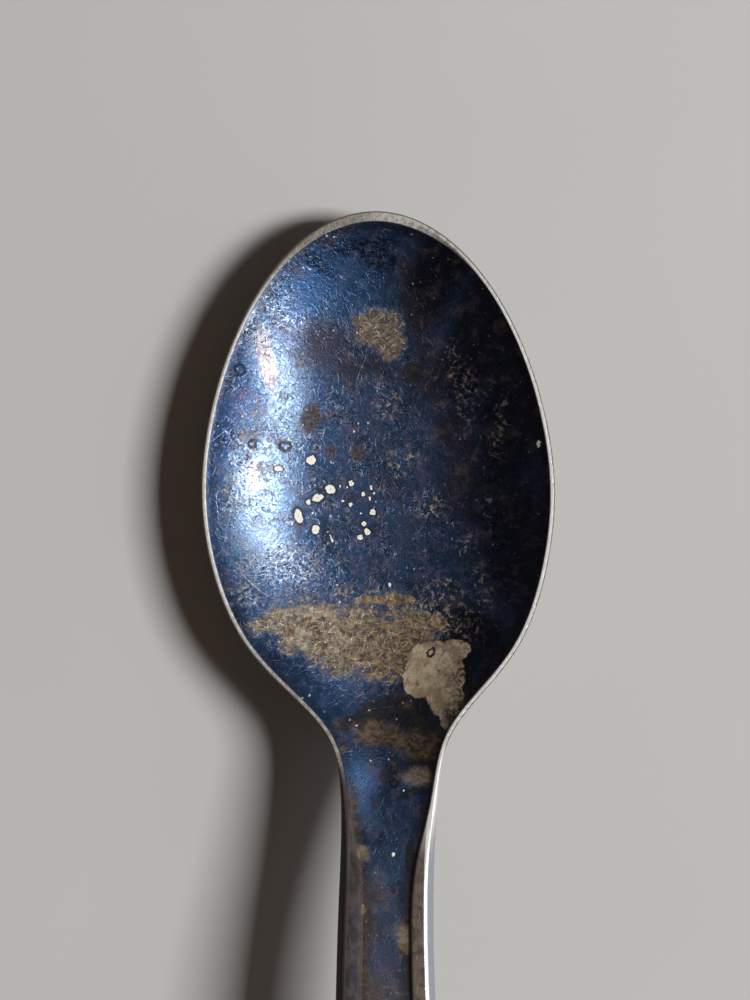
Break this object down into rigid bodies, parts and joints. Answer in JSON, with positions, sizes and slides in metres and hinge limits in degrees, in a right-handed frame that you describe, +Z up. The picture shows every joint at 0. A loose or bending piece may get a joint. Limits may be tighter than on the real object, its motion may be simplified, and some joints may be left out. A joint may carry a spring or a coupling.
{
  "type": "souvenir spoon",
  "caption": "Small plated souvenir spoon with an oval bowl, a slim bordered stem and an enamelled oval badge on its rounded handle end.",
  "frame": {"origin": "middle of the spoon's outline seen from above, on the surface it lies on", "axes": "+Z up out of the bowl, +Y out over the bowl's tip, +X to the right with the bowl ahead"},
  "size_m": [0.025, 0.12, 0.0129],
  "materials": {
    "tarnished_plate": "old silver plate, tarnished blue in the bowl and stem, scratched, flaked brown and tan in patches, worn bright along the rim",
    "soft_solder": "dull grey tin solder",
    "badge_metal": "gilt brass, die-struck, lightly rubbed",
    "enamel_navy": "glossy opaque enamel",
    "enamel_sky": "glossy opaque enamel",
    "enamel_yellow": "glossy opaque enamel",
    "enamel_slate": "glossy opaque enamel",
    "enamel_white": "glossy opaque enamel",
    "enamel_green": "glossy opaque enamel",
    "enamel_turquoise": "glossy opaque enamel"
  },
  "bodies": {
    "root": {"spoon_blank": "tarnished_plate", "badge_solder": "soft_solder", "badge_plate": "badge_metal", "border_enamel": "enamel_navy", "sky_enamel": "enamel_sky", "sun_enamel": "enamel_yellow", "peak_enamel": "enamel_slate", "snow_cap_enamel": "enamel_white", "hill_enamel": "enamel_green", "lake_enamel": "enamel_turquoise"}
  },
  "joints": []
}
